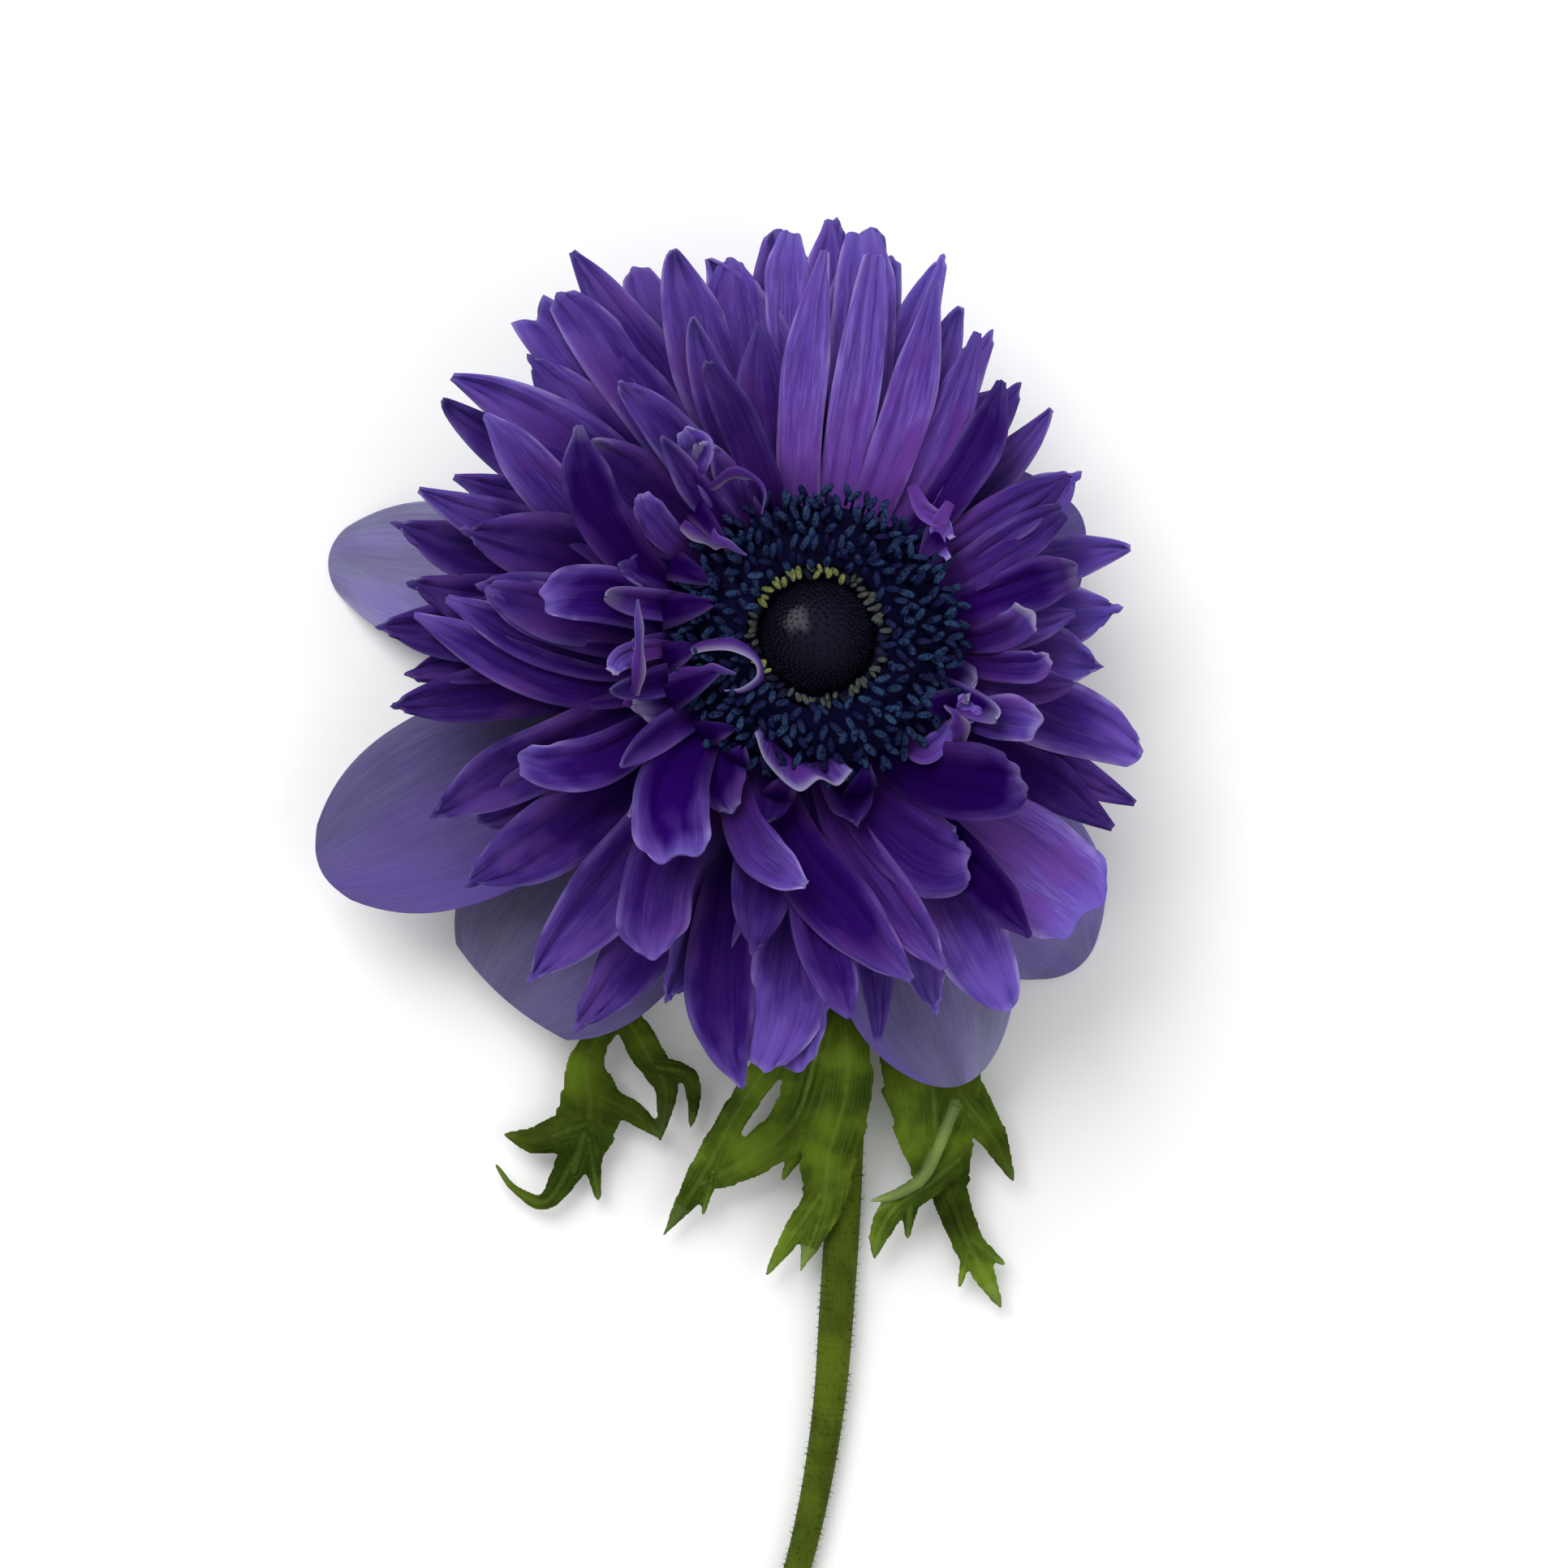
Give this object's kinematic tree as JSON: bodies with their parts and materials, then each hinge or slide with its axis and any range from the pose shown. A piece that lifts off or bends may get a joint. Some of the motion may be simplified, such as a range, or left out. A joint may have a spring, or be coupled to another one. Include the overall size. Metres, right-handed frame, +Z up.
{
  "type": "anemone flower",
  "caption": "Cut many-petalled anemone flower laid on its back, with layered narrow petals, a dark stamen ring and dome, lacy divided bracts and a curved stalk.",
  "frame": {"origin": "bottom centre of the flower's box, on the surface it lies on", "axes": "+Z up out of the face of the bloom, +Y along the flower from the stalk's cut end to the bloom, +X to the right as one looks down on the bloom with the stalk towards the viewer"},
  "size_m": [0.0934, 0.1932, 0.0369],
  "materials": {
    "stem": "smooth green stalk with fine ridges",
    "bract": "matte green leaf with pale veins",
    "tepal": "satin greyish lilac petal",
    "petal_lower": "satin violet-blue petal with pale rims",
    "petal_middle": "satin violet petal with dark grooves",
    "petal_upper": "satin violet petal with whitish curled tips",
    "stamen": "matte blue-black anthers",
    "pollen": "dusty yellow-green anthers",
    "dome": "velvety blue-black styles"
  },
  "bodies": {
    "root": {"stem": "stem", "bract_left": "bract", "bract_front": "bract", "bract_right": "bract", "tepal_1": "tepal", "tepal_2": "tepal", "tepal_3": "tepal", "tepal_4": "tepal", "tepal_5": "tepal", "tepal_6": "tepal", "tepal_7": "tepal", "tepal_8": "tepal", "petals_lower": "petal_lower", "petals_middle": "petal_middle", "petals_upper": "petal_upper", "stamens": "stamen", "pollen_ring": "pollen", "pistil_dome": "dome"}
  },
  "joints": []
}
